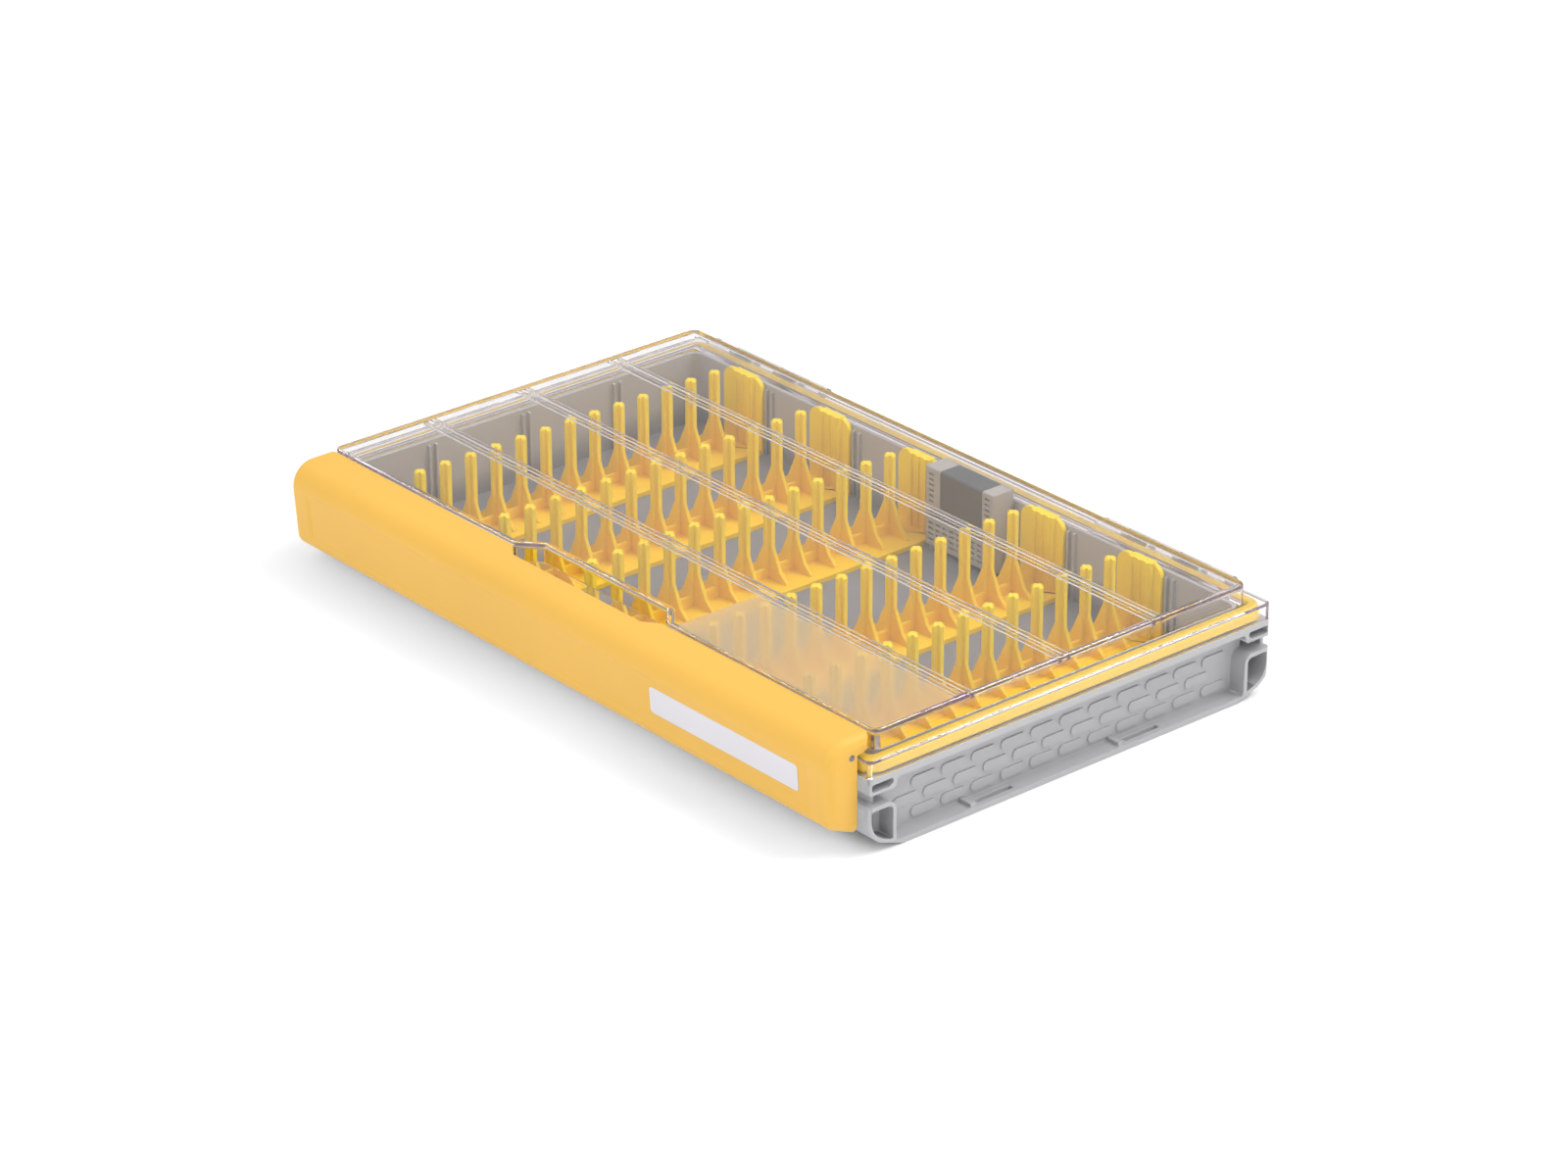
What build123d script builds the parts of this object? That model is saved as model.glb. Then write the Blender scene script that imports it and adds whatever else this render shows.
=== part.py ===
from build123d import *
import os

# Fishing jig box: a flat tray with a clear hinged lid, a full-length rocking latch,
# a lid seal, five hook combs and a moisture cartridge.
# X runs along the box, -Y is the latch side, +Y the hinge side, +Z is up.
# The origin is on the ground under the middle of the tray. All sizes are millimetres.

# Driving dimensions

# Tray
tray_length = 356.0
rim_width = 214.0
rim_height = 32.5
side_ledge = 11.0
cavity_corner = 4.0
wall = 2.0
floor_top = 5.0
floor_thickness = 2.5
end_recess_depth = 8.0
end_post = 14.2
end_wall_thickness = 2.3
end_lip_height = 2.5
end_rim_thickness = 2.9
foot_width = 14.0
foot_cross = 30.0

# Side rails of the tray, and the flange above them with the latch's groove between
flange_height = 7.0
flange_top_wall = 2.4
flange_floor_wall = 1.3
groove_height = 5.3
groove_depth = 4.2
rail_wall = 1.8
rail_slope_run = 18.0
rail_slope_rise = 6.2
rail_round = 11.0
rail_end_round = 4.5
flange_end_round = 2.0
tray_corner = 2.5
neck_setback = 4.0

# Raised pads on the end walls, slots and tabs in the end lips
pad_length = 13.0
pad_height = 4.4
pad_depth = 0.65
pad_pitch = 15.5
pad_row_pitch = 6.4
pad_first_z = 6.6
pad_margin = 10.2
pad_stagger = 9.2
slot_length = 18.4
slot_width = 2.4
slot_centre_y = 39.2
tab_width = 2.4
tab_height = 1.6
tab_offset = 13.6

# Divider ribs on the inner walls and under the lid
divider_rib = 1.2
divider_gap = 2.4
divider_depth = 1.6
divider_drop = 2.0
divider_pitch_y = 50.5
divider_offset_x = 0.7
lid_rib_width = 2.2
lid_rib_depth = 1.2
lid_rib_round = 0.7

# Lid
clearance = 0.3
lid_skirt_height = 7.2
lid_step = 8.5
lid_step_end = 6.2
lid_step_side = 8.1
lid_flange_thickness = 1.7
lid_skirt = 1.6
lid_flange_corner = 3.0
lid_wall = 2.0
lid_top_thickness = 2.0
lid_corner = 4.0
lid_edge_round = 0.8
lid_inner_round = 1.2
notch_outer = 97.0
notch_inner = 78.0
notch_depth = 8.4

# Seal
seal_width = 4.8
seal_round = 1.6

# Hinges
hinge_pin_radius = 1.25
hinge_barrel_radius = 3.2
hinge_reach = 4.1
hinge_rise = 4.5
hinge_end_left = 6.0
hinge_end_right = 26.0
knuckle_length = 15.0
knuckle_gap = 0.4
knuckles_per_hinge = 5
shaft_clearance = 0.05

# Latch
latch_inset = 6.0
latch_drop = 0.2
latch_bottom = 12.6
latch_rear_bottom = 7.2
latch_rear_gap = 1.3
latch_top_reach = 15.8
latch_bottom_reach = 13.1
latch_wall = 2.4
latch_top_round = 11.0
latch_bottom_round = 5.0
latch_rear_round = 0.6
latch_end_round = 4.2
latch_end_plate = 3.0
latch_rib = 2.4
latch_rib_bottom = 34.0
latch_inner_gap = 0.5
hook_gap = 0.9
hook_thickness = 2.4
hook_reach = 2.2
dip_length = 80.8
dip_run = 7.6
dip_depth = 5.6
dip_shift_x = 0.6
panel_margin = 12.0
panel_low = 17.0
panel_high = 38.0
panel_depth = 0.6
panel_blend = 2.2

# Latch rod and the lid ears that hold it
rod_radius = 1.35
rod_reach = 3.4
rod_rise = 1.0
ear_radius = 3.1
ear_width = 8.0
ear_margin = 12.0
ear_pitch = 50.0
ears_per_side = 3

# Name label on the latch
label_length = 88.0
label_height = 11.4
label_thickness = 0.25
label_corner = 1.6
label_inset = 63.0
label_centre_z = 28.4

# Combs
comb_count = 5
combs_before_gap = 3
comb_end_gap_left = 31.7
comb_end_gap_right = 54.7
comb_base_width = 26.0
comb_base_thickness = 2.0
comb_front_clearance = 3.0
comb_back_clearance = 0.4
post_count = 13
post_margin_front = 15.5
post_margin_back = 16.1
post_headroom = 3.1
post_span = 5.2
post_blade = 1.8
post_chamfer = 0.7
wing_reach = 12.0
wing_height = 15.0
web_height = 4.5
block_width = 25.6
block_shift_x = 3.0
block_plate = 2.2
block_drop = 3.4
block_round = 5.5
column_width = 13.0
column_depth = 4.6
column_rise = 0.6
column_shift_x = 1.8
column_rib = 1.6
column_rib_depth = 0.7
column_rib_pitch = 4.4

# Moisture cartridge
cartridge_length = 42.0
cartridge_depth = 11.8
cartridge_room_left = 2.0
cartridge_room_right = 6.6
cartridge_headroom = 3.4
cartridge_wall = 1.4
cartridge_round = 1.8
cartridge_rest = 2.0
cartridge_gap = 0.3
clip_thickness = 1.4
clip_depth = 6.0
clip_height = 16.0
cover_thickness = 1.2
slit_length = 3.0
slit_height = 0.9
slit_pitch_x = 4.3
slit_pitch_z = 2.5
slit_columns = 9
slit_rows = 13
cartridge_label_width = 25.6
cartridge_label_shift = 1.4
cartridge_label_drop = 17.5
cartridge_label_thickness = 0.2

# Sizes and places worked out from the driving dimensions
half_tray = tray_length / 2
half_rim = rim_width / 2
end_wall_outer = half_tray - end_recess_depth
half_cavity_x = end_wall_outer - end_wall_thickness
half_cavity_y = half_rim - side_ledge
half_recess = half_rim - end_post
lip_underside = rim_height - flange_height
rail_top = lip_underside - groove_height
skirt_bottom = rim_height + clearance
lid_flange_top = skirt_bottom + lid_skirt_height
flange_under = lid_flange_top - lid_flange_thickness
collar_top = flange_under - clearance
lid_height = lid_flange_top + lid_step
lid_ceiling = lid_height - lid_top_thickness
half_raised_x = half_tray - lid_step_end
half_raised_y = half_rim - lid_step_side
half_latch = half_tray - latch_inset
latch_back_y = -half_rim - latch_inner_gap
latch_rear_y = -half_raised_y - latch_rear_gap
latch_front_top_y = -half_rim - latch_top_reach
latch_front_bottom_y = -half_rim - latch_bottom_reach
latch_top = lid_height - latch_drop
hook_top = lip_underside - hook_gap
rod_y = -half_rim - rod_reach
rod_z = lid_flange_top + rod_rise
ear_xs = [side * (half_latch - ear_margin - i * ear_pitch) for side in (-1, 1) for i in range(ears_per_side)]
latch_rib_xs = [x - ear_pitch / 2 * (1 if x > 0 else -1) for x in ear_xs]
hinge_axis_y = half_rim + hinge_reach
hinge_axis_z = rim_height + hinge_rise
hinge_length = knuckles_per_hinge * knuckle_length
hinge_starts = (-half_tray + hinge_end_left, half_tray - hinge_end_right - hinge_length)
lid_knuckles = [start + i * knuckle_length + knuckle_gap / 2
                for start in hinge_starts for i in range(0, knuckles_per_hinge, 2)]
tray_knuckles = [start + i * knuckle_length + knuckle_gap / 2
                 for start in hinge_starts for i in range(1, knuckles_per_hinge, 2)]
divider_ys = [i * divider_pitch_y for i in (-1, 0, 1)]
block_right = block_shift_x + block_width / 2
block_left = block_shift_x - block_width / 2
comb_gap = block_right + cartridge_room_left + cartridge_length + cartridge_room_right - block_left
comb_pitch = ((2 * half_cavity_x - comb_end_gap_left - comb_end_gap_right - comb_gap)
              / (comb_count - 2))
comb_xs = [-half_cavity_x + comb_end_gap_left + i * comb_pitch
           + (comb_gap - comb_pitch if i >= combs_before_gap else 0) for i in range(comb_count)]
comb_floor = floor_top + comb_base_thickness
comb_front_y = -half_cavity_y + comb_front_clearance
comb_back_y = half_cavity_y - comb_back_clearance
post_pitch = (2 * half_cavity_y - post_margin_front - post_margin_back) / (post_count - 1)
post_ys = [half_cavity_y - post_margin_back - i * post_pitch for i in range(post_count)]
post_top = lid_ceiling - post_headroom
block_top = post_top - block_drop
column_top = block_top + column_rise
divider_xs = [x + block_right + divider_rib + divider_gap / 2 + divider_offset_x for x in comb_xs]
cartridge_low = floor_top + cartridge_rest
cartridge_top = lid_ceiling - cartridge_headroom
cartridge_back_y = half_cavity_y - cartridge_gap
cartridge_front_y = cartridge_back_y - cartridge_depth
cartridge_centre_x = comb_xs[combs_before_gap - 1] + block_right + cartridge_room_left + cartridge_length / 2
clip_x = cartridge_length / 2 + cartridge_gap + clip_thickness / 2

# Tray
with BuildPart() as tray:
    # Cross-section of the whole tray: sloped bottom, side rails and flanges, a groove at the latch side
    neck = half_rim - groove_depth
    slope_start = half_rim - rail_slope_run
    with BuildSketch(Plane.YZ.offset(-half_tray)):
        with BuildLine():
            FilletPolyline((slope_start, 0), (half_rim, rail_slope_rise), (half_rim, rim_height),
                           (-half_rim, rim_height), (-half_rim, lip_underside + 0.8),
                           (-half_rim + 0.8, lip_underside), (-neck, lip_underside), (-neck, rail_top),
                           (-half_rim + 1.2, rail_top), (-half_rim, rail_top - 1.2),
                           (-half_rim, rail_slope_rise), (-slope_start, 0),
                           radius=[0, rail_round, 0, 0, 0, 0, 0, 0, 0, 0, rail_round, 0], close=True)
        make_face()
    extrude(amount=tray_length)
    with BuildSketch():
        Rectangle(tray_length + 2, rim_width + 2)
        RectangleRounded(tray_length, rim_width, tray_corner, mode=Mode.SUBTRACT)
    extrude(amount=rim_height, mode=Mode.SUBTRACT)
    # Collar that stands inside the seal, then the cavity
    with BuildSketch(Plane.XY.offset(rim_height - 1)):
        RectangleRounded(2 * end_wall_outer, 2 * (half_cavity_y + wall), cavity_corner + wall)
    extrude(amount=collar_top - rim_height + 1)
    with BuildSketch(Plane.XY.offset(floor_top)):
        RectangleRounded(2 * half_cavity_x, 2 * half_cavity_y, cavity_corner)
    extrude(amount=collar_top - floor_top, mode=Mode.SUBTRACT)
    # Each end is open between the bottom lip and the rim, and between the rails and the flanges
    neck_inner = {1: half_rim - rail_wall, -1: neck - rail_wall}
    rim_under = rim_height - end_rim_thickness
    for end in (1, -1):
        with BuildSketch(Plane.YZ.offset(end_wall_outer if end > 0 else -half_tray)):
            with BuildLine():
                FilletPolyline(
                    (half_recess, end_lip_height), (half_recess, rail_top), (neck_inner[1], rail_top),
                    (neck_inner[1], lip_underside), (half_recess, lip_underside), (half_recess, rim_under),
                    (-half_recess, rim_under), (-half_recess, lip_underside), (-neck_inner[-1], lip_underside),
                    (-neck_inner[-1], rail_top), (-half_recess, rail_top), (-half_recess, end_lip_height),
                    radius=[1.5, rail_end_round, 0, 0, flange_end_round, 1.5,
                            1.5, flange_end_round, 0, 0, rail_end_round, 1.5], close=True)
            make_face()
        extrude(amount=end_recess_depth, mode=Mode.SUBTRACT)
        # The neck between rail and flange stops short of the end
        with BuildSketch(Plane.YZ.offset(half_tray - neck_setback if end > 0 else -half_tray)):
            for side in (1, -1):
                with Locations((side * (half_rim + neck_inner[side]) / 2, (rail_top + lip_underside) / 2)):
                    Rectangle(half_rim - neck_inner[side] + 0.02, lip_underside - rail_top)
        extrude(amount=neck_setback, mode=Mode.SUBTRACT)
    # Hollow rails, necks and flanges, wider outside the end walls
    for side in (1, -1):
        outer = half_rim - rail_wall
        for inner, starts, length in ((half_cavity_y + wall, (-end_wall_outer,), 2 * end_wall_outer),
                                      (half_recess + rail_wall, (-half_tray, end_wall_outer),
                                       end_recess_depth)):
            slope = rail_slope_rise / rail_slope_run
            low_inner = (inner - slope_start) * slope + rail_wall
            low_outer = (outer - slope_start) * slope + rail_wall
            rail_hollow = [(side * inner, low_inner), (side * outer, low_outer),
                           (side * outer, rail_top - rail_wall), (side * inner, rail_top - rail_wall)]
            flange_low = lip_underside + flange_floor_wall
            flange_hollow = [(side * outer, flange_low), (side * (inner + 2.0), flange_low),
                             (side * inner, flange_low + 1.3), (side * inner, rim_height - flange_top_wall),
                             (side * outer, rim_height - flange_top_wall)]
            for start in starts:
                with BuildSketch(Plane.YZ.offset(start)):
                    with BuildLine():
                        FilletPolyline(*rail_hollow, radius=[0.4, rail_round - rail_wall, 0.6, 2.0], close=True)
                    make_face()
                    with BuildLine():
                        FilletPolyline(*flange_hollow, radius=[0.9, 0.4, 0.4, 0.9, 0.9], close=True)
                    make_face()
                extrude(amount=length, mode=Mode.SUBTRACT)
        # Pocket between rail and flange, behind the neck
        with BuildSketch(Plane.YZ.offset(-end_wall_outer)):
            with Locations((side * (half_cavity_y + wall + neck_inner[side]) / 2,
                            (rail_top + lip_underside) / 2)):
                Rectangle(neck_inner[side] - half_cavity_y - wall, lip_underside - rail_top)
        extrude(amount=2 * end_wall_outer, mode=Mode.SUBTRACT)
    # Underside: four shallow panels leave a rim and a cross to stand on
    panel_x = half_cavity_x - foot_width - foot_cross / 2
    panel_y = half_cavity_y - foot_width - foot_cross / 2
    with BuildSketch():
        with GridLocations(panel_x + foot_cross, panel_y + foot_cross, 2, 2):
            RectangleRounded(panel_x, panel_y, 5)
    extrude(amount=floor_top - floor_thickness, mode=Mode.SUBTRACT)
    # Raised pads on the end walls, in staggered rows
    pad_rows = int((rim_under - pad_height / 2 - pad_first_z) / pad_row_pitch) + 1
    for end in (1, -1):
        wall_plane = Plane(origin=(end * end_wall_outer, 0, 0), x_dir=(0, end, 0), z_dir=(end, 0, 0))
        with BuildSketch(wall_plane):
            for row in range(pad_rows):
                first = half_recess - pad_margin - (pad_stagger if row % 2 else 0)
                last = -half_recess + pad_length / 2 + 2.0
                for column in range(int((first - last) / pad_pitch) + 1):
                    with Locations((end * (first - column * pad_pitch), pad_first_z + row * pad_row_pitch)):
                        SlotOverall(pad_length, pad_height)
        extrude(amount=pad_depth)
        # Slots and tabs in the end lip
        for place in (-1, 1):
            with BuildSketch():
                with Locations((end * (end_wall_outer + half_tray) / 2, place * slot_centre_y)):
                    Rectangle(slot_width, slot_length)
            extrude(amount=end_lip_height, mode=Mode.SUBTRACT)
            with BuildSketch(Plane.XY.offset(end_lip_height - 0.5)):
                with Locations((end * (end_wall_outer + half_tray - 1.0) / 2,
                                place * slot_centre_y - tab_offset)):
                    Rectangle(half_tray - end_wall_outer - 1.0, tab_width)
            extrude(amount=tab_height + 0.5)
    # Divider ribs in pairs on the four inner walls
    rib_top = collar_top - divider_drop
    with BuildSketch(Plane.XY.offset(floor_top)):
        for partner in (-1, 1):
            step = partner * (divider_gap + divider_rib) / 2
            for x in divider_xs:
                behind_cartridge = abs(x + step - cartridge_centre_x) < clip_x
                for side in (-1,) if behind_cartridge else (-1, 1):
                    with Locations((x + step, side * (half_cavity_y - divider_depth / 2))):
                        Rectangle(divider_rib, divider_depth)
            for y in divider_ys:
                for side in (-1, 1):
                    with Locations((side * (half_cavity_x - divider_depth / 2), y + step)):
                        Rectangle(divider_depth, divider_rib)
    extrude(amount=rib_top - floor_top)
    # Rails that hold the cartridge off the floor, and a clip on each side of it
    with BuildSketch(Plane.XY.offset(floor_top)):
        with Locations((cartridge_centre_x, half_cavity_y - cartridge_depth / 2)):
            with GridLocations(cartridge_length - 8, 0, 2, 1):
                Rectangle(3, cartridge_depth)
    extrude(amount=cartridge_rest)
    with BuildSketch(Plane.XY.offset(floor_top)):
        with Locations((cartridge_centre_x, half_cavity_y - clip_depth / 2)):
            with GridLocations(2 * clip_x, 0, 2, 1):
                Rectangle(clip_thickness, clip_depth)
    extrude(amount=clip_height)
    # Hinge knuckles of the tray
    web = [(half_rim - 0.5, lip_underside + 1.5), (half_rim - 0.5, rim_height),
           (hinge_axis_y - hinge_barrel_radius, rim_height),
           (hinge_axis_y - hinge_barrel_radius, hinge_axis_z),
           (hinge_axis_y + hinge_barrel_radius, hinge_axis_z),
           (hinge_axis_y + hinge_barrel_radius - 2.5, lip_underside + 3.0)]
    for start in tray_knuckles:
        with BuildSketch(Plane.YZ.offset(start)):
            with Locations((hinge_axis_y, hinge_axis_z)):
                Circle(hinge_barrel_radius)
            with BuildLine():
                Polyline(*web, close=True)
            make_face()
            with Locations((hinge_axis_y, hinge_axis_z)):
                Circle(hinge_pin_radius + shaft_clearance, mode=Mode.SUBTRACT)
        extrude(amount=knuckle_length - knuckle_gap)
tray.part.label = "tray"

# Lid
raised_outline = [
    (-half_raised_x, -half_raised_y), (-notch_outer / 2, -half_raised_y),
    (-notch_inner / 2, -half_raised_y + notch_depth), (notch_inner / 2, -half_raised_y + notch_depth),
    (notch_outer / 2, -half_raised_y), (half_raised_x, -half_raised_y),
    (half_raised_x, half_raised_y), (-half_raised_x, half_raised_y),
]
with BuildPart() as lid:
    with BuildSketch(Plane.XY.offset(flange_under)) as raised_plan:
        with BuildLine():
            Polyline(*raised_outline, close=True)
        make_face()
        fillet(raised_plan.vertices().group_by(Axis.X)[0] + raised_plan.vertices().group_by(Axis.X)[-1],
               lid_corner)
    extrude(amount=lid_height - flange_under)
    fillet(lid.faces().sort_by(Axis.Z)[-1].edges(), lid_edge_round)
    with BuildSketch(Plane.XY.offset(skirt_bottom)):
        RectangleRounded(tray_length, rim_width, lid_flange_corner)
    extrude(amount=lid_flange_top - skirt_bottom)
    fillet(lid.faces().filter_by(Plane.XY).filter_by_position(Axis.Z, lid_flange_top - 0.01,
           lid_flange_top + 0.01).sort_by(SortBy.AREA)[-1].outer_wire().edges(), 0.8)
    with BuildSketch(Plane.XY.offset(skirt_bottom)):
        RectangleRounded(tray_length - 2 * lid_skirt, rim_width - 2 * lid_skirt, lid_flange_corner - lid_skirt)
    extrude(amount=flange_under - skirt_bottom, mode=Mode.SUBTRACT)
    with BuildSketch(Plane.XY.offset(flange_under)):
        with BuildLine():
            Polyline(*raised_outline, close=True)
        make_face()
        offset(amount=-lid_wall, kind=Kind.INTERSECTION)
    extrude(amount=lid_ceiling - flange_under, mode=Mode.SUBTRACT)
    ceiling = lid.faces().filter_by(Plane.XY).filter_by_position(Axis.Z, lid_ceiling - 0.01, lid_ceiling + 0.01)
    fillet(ceiling.edges(), lid_inner_round)
    # Divider ribs under the top, in pairs with rounded edges
    with BuildSketch(Plane.YZ.offset(-half_raised_x + lid_wall / 2)):
        for y in divider_ys:
            for partner in (-1, 1):
                centre = y + partner * (divider_gap + lid_rib_width) / 2
                with BuildLine():
                    FilletPolyline(
                        (centre - lid_rib_width / 2, lid_ceiling + 0.5),
                        (centre - lid_rib_width / 2, lid_ceiling - lid_rib_depth),
                        (centre + lid_rib_width / 2, lid_ceiling - lid_rib_depth),
                        (centre + lid_rib_width / 2, lid_ceiling + 0.5),
                        radius=[0, lid_rib_round, lid_rib_round, 0], close=True)
                make_face()
    extrude(amount=2 * half_raised_x - lid_wall)
    # Ears that hold the latch rod
    for x in ear_xs:
        with BuildSketch(Plane.YZ.offset(x - ear_width / 2)):
            with BuildLine():
                Polyline((-half_rim + 6.0, lid_flange_top - 0.6), (rod_y + 0.8, rod_z + ear_radius - 0.1),
                         (rod_y, rod_z), (rod_y - ear_radius + 0.1, rod_z - 0.6),
                         (-half_rim + 0.6, skirt_bottom + 1.0), (-half_rim + 0.6, lid_flange_top - 0.6),
                         close=True)
            make_face()
            with Locations((rod_y, rod_z)):
                Circle(ear_radius)
                Circle(rod_radius + shaft_clearance, mode=Mode.SUBTRACT)
        extrude(amount=ear_width)
    # Hinge knuckles of the lid
    web = [(half_rim - 1.0, lid_flange_top - 0.8), (hinge_axis_y, hinge_axis_z + hinge_barrel_radius),
           (hinge_axis_y + 0.5, hinge_axis_z), (hinge_axis_y - 1.5, hinge_axis_z - hinge_barrel_radius + 0.35),
           (half_rim - 1.0, skirt_bottom + 1.5)]
    for start in lid_knuckles:
        with BuildSketch(Plane.YZ.offset(start)):
            with Locations((hinge_axis_y, hinge_axis_z)):
                Circle(hinge_barrel_radius)
            with BuildLine():
                Polyline(*web, close=True)
            make_face()
            with Locations((hinge_axis_y, hinge_axis_z)):
                Circle(hinge_pin_radius + shaft_clearance, mode=Mode.SUBTRACT)
        extrude(amount=knuckle_length - knuckle_gap)
lid.part.label = "lid"

# Seal: a soft ring with a rounded section, under the lid flange
with BuildPart() as lid_seal:
    with BuildSketch(Plane.XY.offset(skirt_bottom + 0.1)):
        inset = lid_skirt + clearance
        RectangleRounded(tray_length - 2 * inset, rim_width - 2 * inset, 7.0)
        RectangleRounded(tray_length - 2 * (inset + seal_width), rim_width - 2 * (inset + seal_width), 2.2,
                         mode=Mode.SUBTRACT)
    extrude(amount=flange_under - skirt_bottom - 0.1)
    flat_faces = lid_seal.faces().filter_by(Plane.XY)
    fillet(flat_faces.edges(), seal_round)
lid_seal.part.label = "lid_seal"


# Latch: a channel with end plates and ribs, hooked under the tray's lip
def latch_front(z):
    share = (z - latch_bottom) / (latch_top - latch_bottom)
    return latch_front_bottom_y + share * (latch_front_top_y - latch_front_bottom_y)


with BuildPart() as latch:
    with BuildSketch(Plane.YZ.offset(-half_latch)) as latch_profile:
        with BuildLine():
            Polyline(
                (latch_rear_y, latch_top), (latch_front_top_y, latch_top),
                (latch_front_bottom_y, latch_bottom), (latch_back_y, latch_rear_bottom),
                (latch_back_y, rod_z), (latch_rear_y, rod_z + 1.5), close=True)
        make_face()
        top_front = latch_profile.vertices().group_by(Axis.Y)[-1].sort_by(Axis.X)[0]
        fillet(top_front, latch_top_round)
        low_front = latch_profile.vertices().group_by(Axis.Y)[1].sort_by(Axis.X)[0]
        fillet(low_front, latch_bottom_round)
        top_rear = latch_profile.vertices().group_by(Axis.Y)[-1].sort_by(Axis.X)[-1]
        fillet(top_rear, latch_rear_round)
    extrude(amount=2 * half_latch)
    ends = latch.faces().filter_by(Axis.X)
    outside = [edge for edge in ends.edges()
               if edge.center().Y < latch_back_y - 1.0 or edge.center().Z > latch_top - 0.7]
    fillet(outside, latch_end_round)
    # Space behind the front wall, open to the back
    with BuildSketch(Plane.YZ.offset(-half_latch + latch_end_plate)) as latch_space:
        with BuildLine():
            Polyline(
                (latch_rear_y + 1.0, latch_top - latch_wall),
                (latch_front_top_y + latch_wall, latch_top - latch_wall),
                (latch_front(latch_bottom + latch_wall) + latch_wall, latch_bottom + latch_wall),
                (latch_back_y + 1.0, latch_rear_bottom + latch_wall),
                (latch_back_y + 1.0, rod_z - 1.0),
                (latch_rear_y + 1.0, rod_z - 1.0), close=True)
        make_face()
        inner_top = latch_space.vertices().group_by(Axis.Y)[-1].sort_by(Axis.X)[0]
        fillet(inner_top, latch_top_round - latch_wall)
    extrude(amount=2 * (half_latch - latch_end_plate), mode=Mode.SUBTRACT)
    # Ribs that turn on the rod
    for x in latch_rib_xs:
        with BuildSketch(Plane.YZ.offset(x - latch_rib / 2)):
            with BuildLine():
                rib_top = latch_top - latch_wall + 0.4
                Polyline(
                    (latch_back_y, rib_top), (latch_front_top_y + 0.87 * latch_top_round, rib_top),
                    (latch_front_top_y + 0.45 * latch_top_round, latch_top - 0.36 * latch_top_round),
                    (latch_front(rod_z - 3) + latch_wall / 2, rod_z - 3),
                    (latch_front(latch_rib_bottom - 6) + latch_wall / 2, latch_rib_bottom - 6),
                    (latch_back_y - 2.0, latch_rib_bottom), (latch_back_y, latch_rib_bottom + 2.0), close=True)
            make_face()
        extrude(amount=latch_rib)
    # Hook that reaches under the lip of the tray
    with BuildSketch(Plane.YZ.offset(-half_latch + latch_end_plate - 0.5)):
        with BuildLine():
            Polyline(
                (latch_front(hook_top) + 1.0, hook_top), (-half_rim + hook_reach, hook_top),
                (-half_rim + hook_reach, hook_top - 1.4), (-half_rim + hook_reach - 1.2, hook_top - hook_thickness),
                (latch_front(hook_top) + 1.0, hook_top - hook_thickness), close=True)
        make_face()
    extrude(amount=2 * (half_latch - latch_end_plate) + 1.0)
    # Bore for the rod through end plates and ribs
    with BuildSketch(Plane.YZ.offset(-half_latch)):
        with Locations((rod_y, rod_z)):
            Circle(rod_radius + shaft_clearance)
    extrude(amount=2 * half_latch, mode=Mode.SUBTRACT)
    # Dip in the rear edge beside the thumb notch
    with BuildSketch(Plane.XY.offset(latch_top + 1.0)):
        with BuildLine():
            left = dip_shift_x - dip_length / 2
            right = dip_shift_x + dip_length / 2
            Polyline(
                (left - dip_run, latch_rear_y), (left, latch_rear_y - dip_depth),
                (right, latch_rear_y - dip_depth), (right + dip_run, latch_rear_y),
                (right + dip_run, latch_rear_y + 1.0), (left - dip_run, latch_rear_y + 1.0), close=True)
        make_face()
    extrude(amount=-latch_wall - 2.0, mode=Mode.SUBTRACT)
    # Shallow panel in the front face, with soft edges
    front_slope = Plane(
        origin=(0, latch_front(label_centre_z), label_centre_z), x_dir=(1, 0, 0),
        z_dir=(0, -(latch_top - latch_bottom), latch_front_top_y - latch_front_bottom_y))
    for depth, spread, corner in ((-panel_depth, 3 * panel_blend, 5.0), (panel_depth, -panel_blend, 1.4)):
        with BuildSketch(front_slope.offset(-depth)):
            with Locations((0, (panel_low + panel_high) / 2 - label_centre_z)):
                RectangleRounded(2 * (half_latch - panel_margin) + spread, panel_high - panel_low + spread, corner)
    loft(mode=Mode.SUBTRACT)
latch.part.label = "latch"

# Rod that joins the latch to the lid
with BuildPart() as latch_rod:
    with BuildSketch(Plane.YZ.offset(-half_latch)):
        with Locations((rod_y, rod_z)):
            Circle(rod_radius)
    extrude(amount=2 * half_latch)
latch_rod.part.label = "latch_rod"

# Blank name label in the latch's panel
with BuildPart() as latch_label:
    with BuildSketch(front_slope.offset(-panel_depth)):
        with Locations((half_latch - label_inset, 0)):
            RectangleRounded(label_length, label_height, label_corner)
    extrude(amount=label_thickness)
latch_label.part.label = "latch_label"

# Hinge pins, one for each hinge
hinge_pins = []
for start, name in zip(hinge_starts, ("hinge_pin_left", "hinge_pin_right")):
    with BuildPart() as hinge_pin:
        with BuildSketch(Plane.YZ.offset(start + knuckle_gap / 2)):
            with Locations((hinge_axis_y, hinge_axis_z)):
                Circle(hinge_pin_radius)
        extrude(amount=hinge_length - knuckle_gap)
    hinge_pin.part.label = name
    hinge_pins.append(hinge_pin.part)

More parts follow.
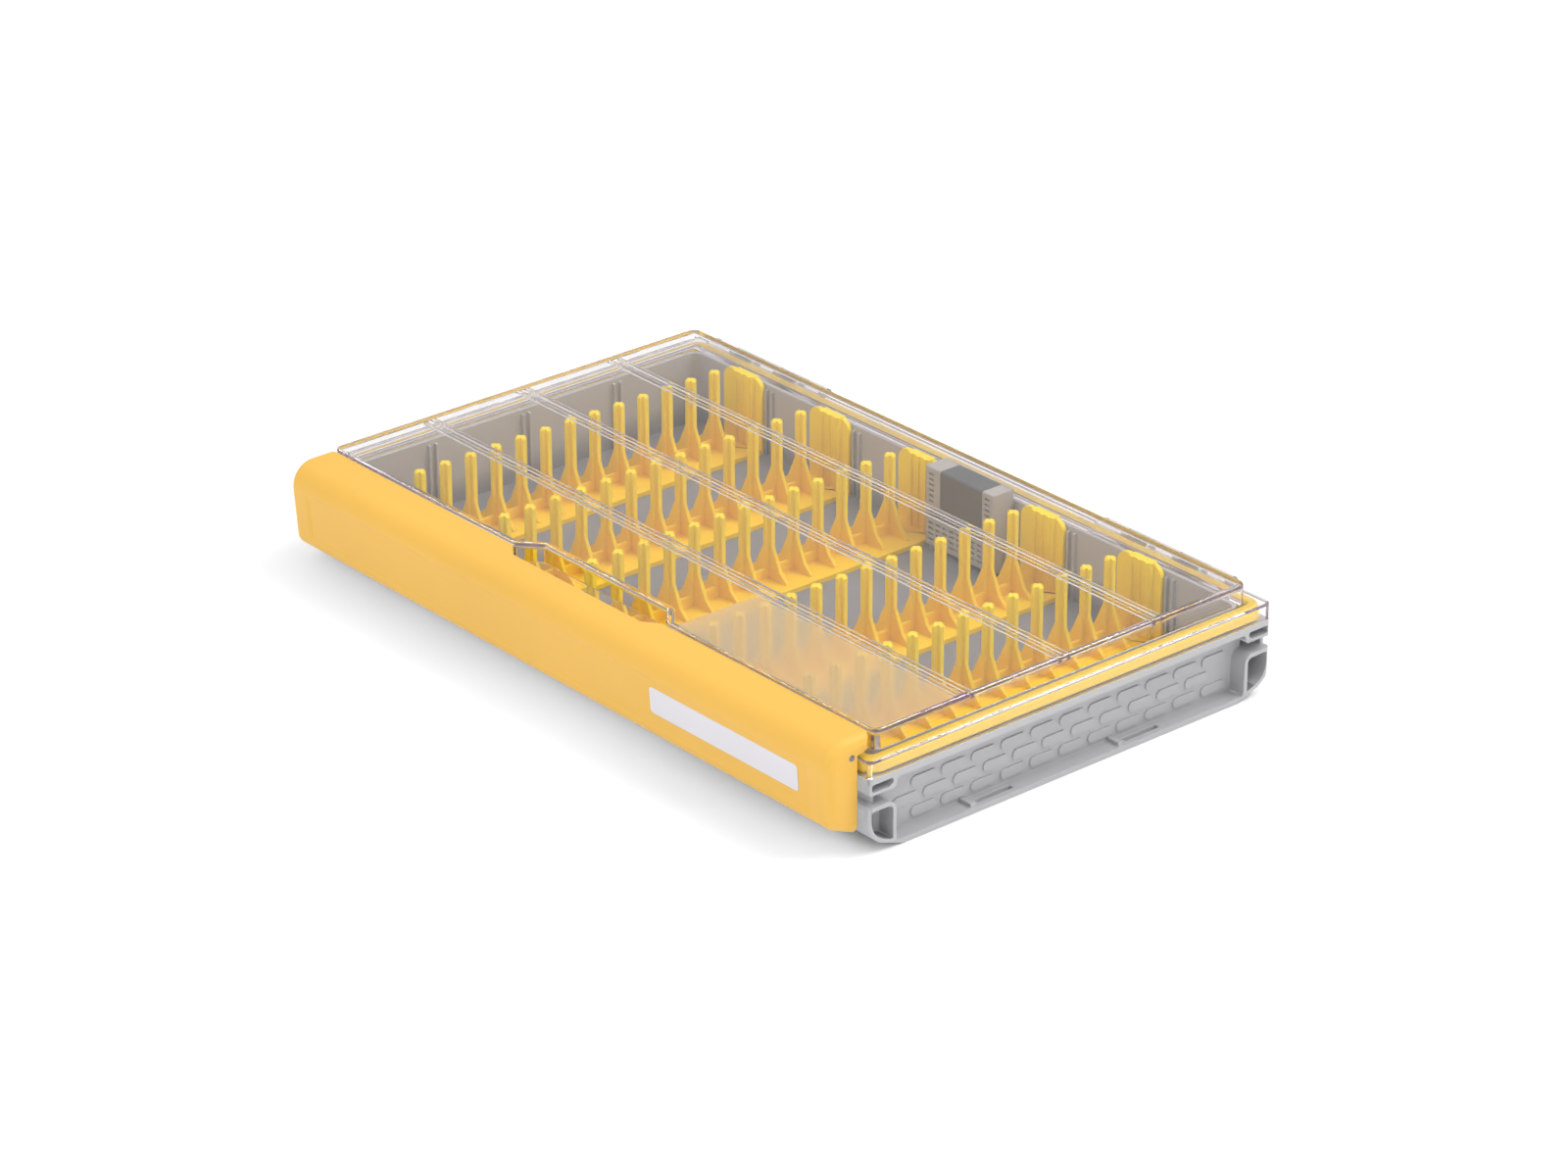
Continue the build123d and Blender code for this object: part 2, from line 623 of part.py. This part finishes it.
# Comb, modelled once around X = 0: base strip, winged posts and an end block at the hinge side
with BuildPart() as comb:
    with BuildSketch(Plane.XY.offset(floor_top)):
        with Locations((block_shift_x, (comb_front_y + comb_back_y) / 2)):
            RectangleRounded(comb_base_width, comb_back_y - comb_front_y, 1.5)
    extrude(amount=comb_base_thickness)
    # Blade across the row in each post, with a wing on each side
    wing_points = [(wing_reach, comb_floor - 0.2), (wing_reach, comb_floor + 0.8),
                   (0.62 * wing_reach, comb_floor + 0.3 * wing_height),
                   (post_span / 2, comb_floor + wing_height), (post_span / 2, post_top - post_chamfer),
                   (post_span / 2 - post_chamfer, post_top)]
    for y in post_ys:
        with BuildSketch(Plane.XZ.offset(-y - post_blade / 2)):
            with BuildLine():
                Polyline(*wing_points, *[(-x, z) for x, z in reversed(wing_points)], close=True)
            make_face()
        extrude(amount=post_blade)
    # Blade along the row in each post, and the low web between posts
    with BuildSketch(Plane.YZ.offset(-post_blade / 2)):
        for y in post_ys:
            with BuildLine():
                Polyline(
                    (y - post_span / 2, comb_floor - 0.2), (y - post_span / 2, post_top - post_chamfer),
                    (y - post_span / 2 + post_chamfer, post_top),
                    (y + post_span / 2 - post_chamfer, post_top),
                    (y + post_span / 2, post_top - post_chamfer), (y + post_span / 2, comb_floor - 0.2),
                    close=True)
            make_face()
        with Locations(((post_ys[0] + post_ys[-1]) / 2, comb_floor + web_height / 2 - 0.1)):
            Rectangle(post_ys[0] - post_ys[-1] + post_span, web_height + 0.2)
    extrude(amount=post_blade)
    # End block: a plate with round shoulders and a thick ribbed column
    with BuildSketch(Plane.XZ.offset(-comb_back_y)) as plate:
        with Locations((block_shift_x, (comb_floor - 0.2 + block_top) / 2)):
            Rectangle(block_width, block_top - comb_floor + 0.2)
        fillet(plate.vertices().group_by(Axis.Y)[-1], block_round)
    extrude(amount=block_plate)
    with BuildSketch(Plane.XY.offset(comb_floor - 0.2)):
        column_x = block_shift_x + column_shift_x
        with Locations((column_x, comb_back_y - (column_depth - column_rib_depth) / 2)):
            Rectangle(column_width, column_depth - column_rib_depth)
        with Locations((column_x, comb_back_y - column_depth / 2)):
            with GridLocations(column_rib_pitch, 0, 3, 1):
                Rectangle(column_rib, column_depth)
    extrude(amount=column_top - comb_floor + 0.2)

# Five combs in a row
combs = []
for number, x in enumerate(comb_xs, 1):
    piece = Pos(x, 0, 0) * comb.part
    piece.label = f"comb_{number}"
    combs.append(piece)

# Moisture cartridge: case with slits, back cover, absorbent pad and blank label
cartridge_height = cartridge_top - cartridge_low
cartridge_mid_z = (cartridge_top + cartridge_low) / 2
case_back_y = cartridge_back_y - cover_thickness
with BuildPart() as cartridge_case:
    with BuildSketch(Plane.XZ.offset(-case_back_y)):
        with Locations((cartridge_centre_x, cartridge_mid_z)):
            Rectangle(cartridge_length, cartridge_height)
    extrude(amount=case_back_y - cartridge_front_y)
    front_edges = cartridge_case.faces().sort_by(Axis.Y)[0].edges()
    fillet(front_edges, 1.0)
    with BuildSketch(Plane.XZ.offset(-case_back_y)):
        with Locations((cartridge_centre_x, cartridge_mid_z)):
            Rectangle(cartridge_length - 2 * cartridge_wall, cartridge_height - 2 * cartridge_wall)
    extrude(amount=case_back_y - cartridge_front_y - cartridge_wall, mode=Mode.SUBTRACT)
    label_low = cartridge_top - cartridge_label_drop
    with BuildSketch(Plane.XZ.offset(-cartridge_front_y - cartridge_wall - 0.5)):
        for row in range(slit_rows):
            z = cartridge_low + 3.2 + row * slit_pitch_z
            for column in range(slit_columns):
                x = (column - (slit_columns - 1) / 2) * slit_pitch_x
                covered = (z > label_low - 1.2
                           and abs(x - cartridge_label_shift) < (cartridge_label_width + slit_length) / 2)
                if not covered:
                    with Locations((cartridge_centre_x + x, z)):
                        Rectangle(slit_length, slit_height)
    extrude(amount=cartridge_wall + 1.0, mode=Mode.SUBTRACT)
cartridge_case.part.label = "cartridge_case"

with BuildPart() as cartridge_cover:
    with BuildSketch(Plane.XZ.offset(-cartridge_back_y)):
        with Locations((cartridge_centre_x, cartridge_mid_z)):
            Rectangle(cartridge_length, cartridge_height)
    extrude(amount=cover_thickness)
cartridge_cover.part.label = "cartridge_cover"

pad_gap = 0.4
with BuildPart() as absorbent_pad:
    with BuildSketch(Plane.XZ.offset(-case_back_y)):
        with Locations((cartridge_centre_x, cartridge_mid_z)):
            Rectangle(cartridge_length - 2 * (cartridge_wall + pad_gap),
                      cartridge_height - 2 * (cartridge_wall + pad_gap))
    extrude(amount=case_back_y - cartridge_front_y - cartridge_wall - pad_gap)
absorbent_pad.part.label = "absorbent_pad"

with BuildPart() as cartridge_label:
    # A thin strip down the front that folds over the top
    t = cartridge_label_thickness
    with BuildSketch(Plane.YZ.offset(cartridge_centre_x + cartridge_label_shift - cartridge_label_width / 2)):
        with BuildLine():
            r = 1.0
            front = cartridge_front_y
            Line((front, label_low), (front, cartridge_top - r))
            RadiusArc((front, cartridge_top - r), (front + r, cartridge_top), r)
            Polyline((front + r, cartridge_top), (case_back_y, cartridge_top),
                     (case_back_y, cartridge_top + t), (front + r, cartridge_top + t))
            RadiusArc((front + r, cartridge_top + t), (front - t, cartridge_top - r), -(r + t))
            Polyline((front - t, cartridge_top - r), (front - t, label_low), (front, label_low))
        make_face()
    extrude(amount=cartridge_label_width)
cartridge_label.part.label = "cartridge_label"

# One STEP file for each piece
os.makedirs("parts", exist_ok=True)
for part in [tray.part, lid.part, lid_seal.part, latch.part, latch_rod.part, latch_label.part,
             *hinge_pins, *combs, cartridge_case.part, cartridge_cover.part, absorbent_pad.part,
             cartridge_label.part]:
    export_step(part, f"parts/{part.label}.step")
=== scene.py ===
import math

import bmesh
import bpy
from mathutils import Matrix, Vector


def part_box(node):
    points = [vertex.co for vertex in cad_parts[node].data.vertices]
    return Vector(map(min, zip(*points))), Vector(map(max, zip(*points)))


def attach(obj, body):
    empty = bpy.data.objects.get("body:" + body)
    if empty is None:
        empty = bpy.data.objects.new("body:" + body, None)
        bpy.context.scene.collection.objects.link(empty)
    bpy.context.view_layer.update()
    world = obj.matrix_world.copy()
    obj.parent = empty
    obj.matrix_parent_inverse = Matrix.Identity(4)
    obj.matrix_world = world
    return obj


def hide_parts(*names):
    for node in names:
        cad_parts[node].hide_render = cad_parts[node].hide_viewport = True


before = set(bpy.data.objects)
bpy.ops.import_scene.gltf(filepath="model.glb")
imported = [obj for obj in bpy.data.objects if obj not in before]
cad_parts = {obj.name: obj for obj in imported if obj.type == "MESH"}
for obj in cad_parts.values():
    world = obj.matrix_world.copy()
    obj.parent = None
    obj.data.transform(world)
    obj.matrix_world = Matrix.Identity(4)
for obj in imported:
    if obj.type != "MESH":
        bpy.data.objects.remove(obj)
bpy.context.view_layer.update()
scene = bpy.context.scene
mm = 0.001


# A colour as a colour picker shows it, 0 to 255, in the linear values that a shader takes
def tone(red, green, blue):
    return tuple(((c / 255 + 0.055) / 1.055) ** 2.4 if c > 10 else c / 3294 for c in (red, green, blue)) + (1.0,)


# Whether a point lies inside a box whose corners are given in millimetres
def within(space, point):
    return all(low * mm < value < high * mm for value, low, high in zip(point, *space))


# A finished bmesh as an object of the scene
def placed(form, name, finish):
    mesh = bpy.data.meshes.new(name)
    form.to_mesh(mesh)
    form.free()
    mesh.materials.append(finish)
    piece = bpy.data.objects.new(name, mesh)
    scene.collection.objects.link(piece)
    return piece


# Camera, from the edges of the box in the photograph
cameraView = {"azimuth": 49.52, "elevation": 26.04, "roll": -0.08, "distance": 2.16626,
              "lens": 120.48, "filmWidth": 36, "shiftX": 0.00397, "shiftY": 0.02026}
azimuth, elevation = math.radians(cameraView["azimuth"]), math.radians(cameraView["elevation"])
towardsCamera = Vector((math.sin(azimuth) * math.cos(elevation), -math.cos(azimuth) * math.cos(elevation),
                        math.sin(elevation)))
cameraData = bpy.data.cameras.new("photoCamera")
cameraData.lens = cameraView["lens"]
cameraData.sensor_width = cameraView["filmWidth"]
cameraData.shift_x = cameraView["shiftX"]
cameraData.shift_y = cameraView["shiftY"]
camera = bpy.data.objects.new("photoCamera", cameraData)
scene.collection.objects.link(camera)
camera.location = towardsCamera * cameraView["distance"]
camera.rotation_euler = (towardsCamera.to_track_quat("Z", "Y").to_matrix()
                         @ Matrix.Rotation(math.radians(cameraView["roll"]), 3, "Z")).to_euler()
scene.camera = camera
print("camera ready")

# A room that is brighter overhead than at the walls
studio = {"wallLight": 0.43, "ceilingLight": 1.25, "wallUpTo": 0.5, "ceilingFrom": 0.8, "lightBounces": 128,
          "floorSize": 14.0, "floorTone": (0.97, 0.97, 0.97, 1.0), "floorRoughness": 0.9}
world = bpy.data.worlds.new("whiteRoom")
scene.world = world
world.use_nodes = True
roomNodes, roomLinks = world.node_tree.nodes, world.node_tree.links
direction = roomNodes.new("ShaderNodeTexCoord")
height = roomNodes.new("ShaderNodeSeparateXYZ")
glow = roomNodes.new("ShaderNodeMapRange")
glow.interpolation_type = "SMOOTHSTEP"
glow.inputs["From Min"].default_value = studio["wallUpTo"]
glow.inputs["From Max"].default_value = studio["ceilingFrom"]
glow.inputs["To Min"].default_value = studio["wallLight"]
glow.inputs["To Max"].default_value = studio["ceilingLight"]
roomLinks.new(direction.outputs["Generated"], height.inputs["Vector"])
roomLinks.new(height.outputs["Z"], glow.inputs["Value"])
roomLinks.new(glow.outputs["Result"], roomNodes["Background"].inputs["Strength"])
roomNodes["Background"].inputs["Color"].default_value = (1.0, 1.0, 1.0, 1.0)

# Studio lamps, and two that only draw highlights along the edges of the lid and the seal
lamps = {
    "keyLamp": {"place": (0.9, 1.2, 1.9), "aim": (0.0, 0.0, 0.0), "size": (1.4, 1.4), "power": 23.0},
    "fillLamp": {"place": (-0.6, -1.9, 1.1), "aim": (0.0, 0.0, 0.02), "size": (1.6, 1.6), "power": 12.0},
    "endLamp": {"place": (2.1, -0.2, 0.8), "aim": (0.17, 0.0, 0.02), "size": (1.0, 1.0), "power": 7.0},
    "lineLampLeft": {"place": (-1.5, 0.11, 1.61), "aim": (0.0, 0.0, 0.04), "size": (0.35, 0.8), "power": 28.0},
    "lineLampRear": {"place": (-0.11, 1.28, 1.78), "aim": (0.0, 0.0, 0.04), "size": (0.8, 0.35), "power": 28.0},
}
highlight = {"lamps": ("lineLampLeft", "lineLampRear"), "fewerRefractionsThan": 0.5}
for name, lamp in lamps.items():
    data = bpy.data.lights.new(name, "AREA")
    data.shape = "RECTANGLE"
    data.size, data.size_y = lamp["size"]
    data.energy = lamp["power"]
    light = bpy.data.objects.new(name, data)
    scene.collection.objects.link(light)
    light.location = lamp["place"]
    awayFromAim = Vector(lamp["place"]) - Vector(lamp["aim"])
    light.rotation_euler = awayFromAim.to_track_quat("Z", "Y").to_euler()
    if name in highlight["lamps"]:
        # Seen only where a surface mirrors them straight to the camera, never through the lid
        light.visible_diffuse = False
        data.use_nodes = True
        rays = data.node_tree.nodes.new("ShaderNodeLightPath")
        direct = data.node_tree.nodes.new("ShaderNodeMath")
        direct.operation = "LESS_THAN"
        direct.inputs[1].default_value = highlight["fewerRefractionsThan"]
        data.node_tree.links.new(rays.outputs["Transmission Depth"], direct.inputs[0])
        data.node_tree.links.new(direct.outputs["Value"], data.node_tree.nodes["Emission"].inputs["Strength"])

# Light that runs a long way inside the lid still comes out at its edges
scene.view_settings.view_transform = "Standard"
scene.cycles.max_bounces = studio["lightBounces"]
scene.cycles.transmission_bounces = studio["lightBounces"]
scene.cycles.transparent_max_bounces = studio["lightBounces"]
scene.cycles.glossy_bounces = studio["lightBounces"]

floorMaterial = bpy.data.materials.new("paleFloor")
floorMaterial.use_nodes = True
floorShader = floorMaterial.node_tree.nodes["Principled BSDF"]
floorShader.inputs["Base Color"].default_value = studio["floorTone"]
floorShader.inputs["Roughness"].default_value = studio["floorRoughness"]
floorShader.inputs["Specular IOR Level"].default_value = 0.0
floorForm = bmesh.new()
bmesh.ops.create_grid(floorForm, x_segments=1, y_segments=1, size=studio["floorSize"] / 2)
placed(floorForm, "studioFloor", floorMaterial)
print("studio ready")

# What every moulded surface has, unless its look says otherwise
mouldedLook = {"driftScale": 14.0, "drift": 0.03, "driftFrom": 0.3, "driftTo": 0.7, "noiseDetail": 3.0,
               "grainScale": 1400.0, "grain": 0.1, "grainHeight": 0.0001, "glossSpread": 0.06,
               "shine": 0.5, "metal": 0.0}


# Moulded plastic: a slow drift of colour, painted shade that deepens the tone towards the foot, fine mould grain
# in gloss and bump
def mouldedPlastic(name, changes):
    look = {**mouldedLook, **changes}
    material = bpy.data.materials.new(name)
    material.use_nodes = True
    nodes, links = material.node_tree.nodes, material.node_tree.links
    shader = nodes["Principled BSDF"]
    place = nodes.new("ShaderNodeTexCoord")
    drift = nodes.new("ShaderNodeTexNoise")
    drift.inputs["Scale"].default_value = look["driftScale"]
    drift.inputs["Detail"].default_value = look["noiseDetail"]
    links.new(place.outputs["Object"], drift.inputs["Vector"])
    shades = nodes.new("ShaderNodeValToRGB")
    for stop, position, change in zip(shades.color_ramp.elements, (look["driftFrom"], look["driftTo"]),
                                      (1 - look["drift"], 1 + look["drift"])):
        stop.position = position
        stop.color = [min(1.0, c * change) for c in look["shade"][:3]] + [1.0]
    links.new(drift.outputs["Fac"], shades.inputs["Fac"])
    surface = shades.outputs["Color"]
    # Painted shade: the colour darkens towards the foot, where less light reaches
    if "paintedFootShade" in look:
        level = nodes.new("ShaderNodeSeparateXYZ")
        rise = nodes.new("ShaderNodeMapRange")
        rise.interpolation_type = "SMOOTHSTEP"
        rise.inputs["From Min"].default_value = look["footZ"]
        rise.inputs["From Max"].default_value = look["headZ"]
        blend = nodes.new("ShaderNodeMix")
        blend.data_type = "RGBA"
        blend.inputs["A"].default_value = look["paintedFootShade"]
        links.new(place.outputs["Object"], level.inputs["Vector"])
        links.new(level.outputs["Z"], rise.inputs["Value"])
        links.new(rise.outputs["Result"], blend.inputs["Factor"])
        links.new(surface, blend.inputs["B"])
        surface = blend.outputs["Result"]
    links.new(surface, shader.inputs["Base Color"])
    grain = nodes.new("ShaderNodeTexNoise")
    grain.inputs["Scale"].default_value = look["grainScale"]
    grain.inputs["Detail"].default_value = look["noiseDetail"]
    links.new(place.outputs["Object"], grain.inputs["Vector"])
    gloss = nodes.new("ShaderNodeMapRange")
    gloss.inputs["To Min"].default_value = look["roughness"] - look["glossSpread"]
    gloss.inputs["To Max"].default_value = look["roughness"] + look["glossSpread"]
    links.new(grain.outputs["Fac"], gloss.inputs["Value"])
    links.new(gloss.outputs["Result"], shader.inputs["Roughness"])
    bump = nodes.new("ShaderNodeBump")
    bump.inputs["Strength"].default_value = look["grain"]
    bump.inputs["Distance"].default_value = look["grainHeight"]
    links.new(grain.outputs["Fac"], bump.inputs["Height"])
    links.new(bump.outputs["Normal"], shader.inputs["Normal"])
    shader.inputs["Specular IOR Level"].default_value = look["shine"]
    shader.inputs["Metallic"].default_value = look["metal"]
    if "coat" in look:
        shader.inputs["Coat Weight"].default_value = look["coat"]
        shader.inputs["Coat Roughness"].default_value = look["coatRoughness"]
    return material


# Clear plastic: lamps shine straight through it, and its long edges take a tint
def clearPlastic(name, look):
    material = bpy.data.materials.new(name)
    material.use_nodes = True
    nodes, links = material.node_tree.nodes, material.node_tree.links
    shader = nodes["Principled BSDF"]
    shader.inputs["Base Color"].default_value = look["tint"]
    shader.inputs["Roughness"].default_value = look["roughness"]
    shader.inputs["Transmission Weight"].default_value = look["clearness"]
    shader.inputs["IOR"].default_value = look["bending"]
    rays = nodes.new("ShaderNodeLightPath")
    through = nodes.new("ShaderNodeBsdfTransparent")
    through.inputs["Color"].default_value = look["shadowTint"]
    mix = nodes.new("ShaderNodeMixShader")
    links.new(rays.outputs["Is Shadow Ray"], mix.inputs["Fac"])
    links.new(shader.outputs["BSDF"], mix.inputs[1])
    links.new(through.outputs["BSDF"], mix.inputs[2])
    links.new(mix.outputs["Shader"], nodes["Material Output"].inputs["Surface"])
    if "edgeTint" in look:
        depth = nodes.new("ShaderNodeVolumeAbsorption")
        depth.inputs["Color"].default_value = look["edgeTint"]
        depth.inputs["Density"].default_value = look["edgeDepth"]
        links.new(depth.outputs["Volume"], nodes["Material Output"].inputs["Volume"])
    return material


# How the eased copies are cleaned, rounded and shaded: lengths in millimetres, angles in degrees
mould = {"mergeWithin": 0.004, "flatWithin": 0.4, "easedAbove": 40, "easeSteps": 2, "creaseAbove": 50,
         "faceWeight": 60}


# The CAD node's own shape again, merged, with its sharp edges eased as a mould leaves them
def easedCopy(nodeName, pieceName, sizes, finish, body, inside=None):
    form = bmesh.new()
    form.from_mesh(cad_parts[nodeName].data)
    bmesh.ops.remove_doubles(form, verts=form.verts, dist=mould["mergeWithin"] * mm)
    bmesh.ops.dissolve_limit(form, angle_limit=math.radians(mould["flatWithin"]), verts=form.verts,
                             edges=form.edges)
    sharp = [e for e in form.edges if len(e.link_faces) == 2 and e.calc_length() > sizes["easedFrom"] * mm
             and e.calc_face_angle() > math.radians(mould["easedAbove"])]
    if sizes["ease"]:
        bmesh.ops.bevel(form, geom=sharp, offset=sizes["ease"] * mm, segments=mould["easeSteps"], profile=0.5,
                        affect="EDGES", material=-1, clamp_overlap=False)
    for face in form.faces:
        face.smooth = True
        if inside:
            face.material_index = int(within(inside["space"], face.calc_center_median()))
    piece = placed(form, pieceName, finish)
    piece.data.set_sharp_from_angle(angle=math.radians(mould["creaseAbove"]))
    if inside:
        piece.data.materials.append(inside["finish"])
    even = piece.modifiers.new("evenShading", "WEIGHTED_NORMAL")
    even.keep_sharp = True
    even.weight = mould["faceWeight"]
    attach(piece, body)
    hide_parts(nodeName)
    return piece


# Pieces that keep their CAD shape only take a material
def finishNodes(finishes):
    for node, finish in finishes.items():
        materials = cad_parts[node].data.materials
        materials.clear()
        materials.append(finish)


# Tray, with painted shade in the cavity: the same grey coloured darker towards the cavity floor
tray = {"ease": 0.3, "easedFrom": 0.5, "cavity": ((-168.5, -97.5, 4.0), (168.5, 97.5, 41.0)),
        "look": {"shade": tone(180, 180, 182), "roughness": 0.42, "grain": 0.18, "drift": 0.025, "shine": 0.4},
        "cavityShadedLook": {"shade": tone(180, 178, 178), "paintedFootShade": tone(136, 136, 139), "footZ": 0.005,
                       "headZ": 0.02, "roughness": 0.5, "grain": 0.18, "drift": 0.025, "shine": 0.2}}
easedCopy("tray", "trayBody", tray, mouldedPlastic("greyTrayPlastic", tray["look"]), "tray",
          {"space": tray["cavity"], "finish": mouldedPlastic("greyCavityPaintedShade", tray["cavityShadedLook"])})
print("tray ready")

# Comb inserts, with painted shade deepening their colour towards the foot
comb = {"ease": 0.22, "easedFrom": 0.5, "count": 5,
        "look": {"shade": tone(255, 222, 46), "paintedFootShade": tone(248, 205, 30), "footZ": 0.006, "headZ": 0.034,
                 "roughness": 0.45, "grain": 0.08, "shine": 0.15}}
combPlastic = mouldedPlastic("combPlastic", comb["look"])
for number in range(1, comb["count"] + 1):
    easedCopy(f"comb_{number}", f"combInsert{number}", comb, combPlastic, "tray")
print("combs ready")

# Moisture cartridge
cartridge = {"ease": 0.25, "easedFrom": 0.4,
             "look": {"shade": tone(172, 168, 164), "roughness": 0.5, "grain": 0.15, "shine": 0.3},
             "film": {"shade": tone(88, 90, 91), "roughness": 0.35, "grain": 0.03, "drift": 0.05},
             "felt": {"shade": tone(200, 200, 195), "roughness": 0.9, "grain": 0.9, "grainScale": 600.0,
                      "drift": 0.08}}
casePlastic = mouldedPlastic("cartridgePlastic", cartridge["look"])
easedCopy("cartridge_case", "cartridgeShell", cartridge, casePlastic, "tray")
finishNodes({"cartridge_cover": casePlastic,
             "cartridge_label": mouldedPlastic("darkLabelFilm", cartridge["film"]),
             "absorbent_pad": mouldedPlastic("padFelt", cartridge["felt"])})
print("cartridge ready")

# Lid
lid = {"ease": 0.3, "easedFrom": 0.5, "top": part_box("lid")[1].z / mm, "thickness": 2.0,
       "look": {"tint": (1.0, 1.0, 1.0, 1.0), "roughness": 0.0, "clearness": 0.993, "bending": 1.45,
                "shadowTint": (0.97, 0.96, 0.95, 1.0), "edgeTint": (0.84, 0.77, 0.84, 1.0), "edgeDepth": 45.0}}
lidPlastic = clearPlastic("clearLidPlastic", lid["look"])
lidShell = easedCopy("lid", "lidShell", lid, lidPlastic, "lid")

# Soft seal, with a hair of air over it, so that its top shows through the clear flange
seal = {"ease": 0.0, "easedFrom": 0.5, "airGap": 0.08, "topWithin": 0.01,
        "look": {"shade": tone(238, 199, 52), "roughness": 0.26, "grain": 0.02, "drift": 0.02, "coat": 0.25,
                 "coatRoughness": 0.08}}
sealRing = easedCopy("lid_seal", "sealRing", seal, mouldedPlastic("softSealRubber", seal["look"]), "lid")
sealTop = max(v.co.z for v in sealRing.data.vertices)
for vertex in sealRing.data.vertices:
    if vertex.co.z > sealTop - seal["topWithin"] * mm:
        vertex.co.z -= seal["airGap"] * mm

# Frosted panel, a whitish film on the lid's top; its beige tint is painted light, the yellow glow of the combs
# beneath it
frostedPanel = {"left": 53.7, "right": 170.6, "front": -97.9, "rear": -56.7, "overLid": 0.003, "thickness": 0.06,
                "cornerRound": 2.4, "roundSteps": 5,
                "look": {"tint": tone(232, 216, 186), "roughness": 0.22, "clearness": 0.78, "bending": 1.15,
                         "shadowTint": (0.9, 0.88, 0.84, 1.0)}}
form = bmesh.new()
bmesh.ops.create_grid(form, x_segments=1, y_segments=1, size=0.5)
bmesh.ops.scale(form, verts=form.verts, vec=((frostedPanel["right"] - frostedPanel["left"]) * mm,
                                             (frostedPanel["rear"] - frostedPanel["front"]) * mm, 1.0))
bmesh.ops.translate(form, verts=form.verts, vec=((frostedPanel["right"] + frostedPanel["left"]) / 2 * mm,
                                                 (frostedPanel["rear"] + frostedPanel["front"]) / 2 * mm,
                                                 (lid["top"] + frostedPanel["overLid"]) * mm))
bmesh.ops.bevel(form, geom=form.verts, offset=frostedPanel["cornerRound"] * mm,
                segments=frostedPanel["roundSteps"], profile=0.5, affect="VERTICES", material=-1)
raised = bmesh.ops.extrude_face_region(form, geom=form.faces[:])
bmesh.ops.translate(form, verts=[v for v in raised["geom"] if isinstance(v, bmesh.types.BMVert)],
                    vec=(0.0, 0.0, frostedPanel["thickness"] * mm))
bmesh.ops.recalc_face_normals(form, faces=form.faces)
panel = placed(form, "frostedPanel", clearPlastic("frostedPlastic", frostedPanel["look"]))
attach(panel, "lid")

# The outer ribs of the first and last pair, which the lid's solid lacks
outerRibs = {"middles": (-52.8, 52.8), "halfLength": 168.4, "width": 2.2, "depth": 1.2, "airGap": 0.01,
             "ease": 0.7, "easeSteps": 4}
ribMiddleZ = lid["top"] - lid["thickness"] - outerRibs["airGap"] - outerRibs["depth"] / 2
form = bmesh.new()
for middle in outerRibs["middles"]:
    rib = bmesh.ops.create_cube(form, size=1.0)["verts"]
    bmesh.ops.scale(form, verts=rib, vec=(2 * outerRibs["halfLength"] * mm, outerRibs["width"] * mm,
                                          outerRibs["depth"] * mm))
    bmesh.ops.translate(form, verts=rib, vec=(0.0, middle * mm, ribMiddleZ * mm))
lowLongEdges = [e for e in form.edges if all(v.co.z < ribMiddleZ * mm for v in e.verts)
                and e.calc_length() > 2 * outerRibs["width"] * mm]
bmesh.ops.bevel(form, geom=lowLongEdges, offset=outerRibs["ease"] * mm, segments=outerRibs["easeSteps"],
                profile=0.5, affect="EDGES", material=-1)
for face in form.faces:
    face.smooth = True
ribs = placed(form, "lidOuterRibs", lidPlastic)
ribs.data.set_sharp_from_angle(angle=math.radians(mould["creaseAbove"]))
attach(ribs, "lid")

highlighted = bpy.data.collections.new("highlightedPieces")
for piece in (lidShell, sealRing, ribs):
    highlighted.objects.link(piece)
for name in highlight["lamps"]:
    scene.objects[name].light_linking.receiver_collection = highlighted
print("lid ready")

# Latch, its rod and name label, and the hinge pins
latch = {"ease": 0.3, "easedFrom": 0.5, "panelZone": ((-161.2, -122.0, 15.9), (161.2, -119.9, 38.5)),
         "look": {"shade": tone(232, 182, 80), "roughness": 0.45, "grain": 0.16, "drift": 0.02, "shine": 0.35},
         "label": {"shade": tone(220, 217, 222), "roughness": 0.5, "grain": 0.03, "drift": 0.01, "shine": 0.3},
         "steel": {"shade": tone(140, 140, 142), "roughness": 0.35, "grainScale": 2500.0, "metal": 0.9}}
longLatch = easedCopy("latch", "longLatch", latch, mouldedPlastic("satinLatchPlastic", latch["look"]), "latch")
# Its front panel is too shallow for the crease angle, so the edges there are marked
for edge in longLatch.data.edges:
    if all(within(latch["panelZone"], longLatch.data.vertices[end].co) for end in edge.vertices):
        edge.use_edge_sharp = True
# The photograph's shadow is neutral, so the latch throws no yellow tint on the floor
longLatch.visible_diffuse = False
steel = mouldedPlastic("pinSteel", latch["steel"])
finishNodes({"latch_label": mouldedPlastic("nameLabelFilm", latch["label"]), "latch_rod": steel,
             "hinge_pin_left": steel, "hinge_pin_right": steel})
print("latch and pins ready")
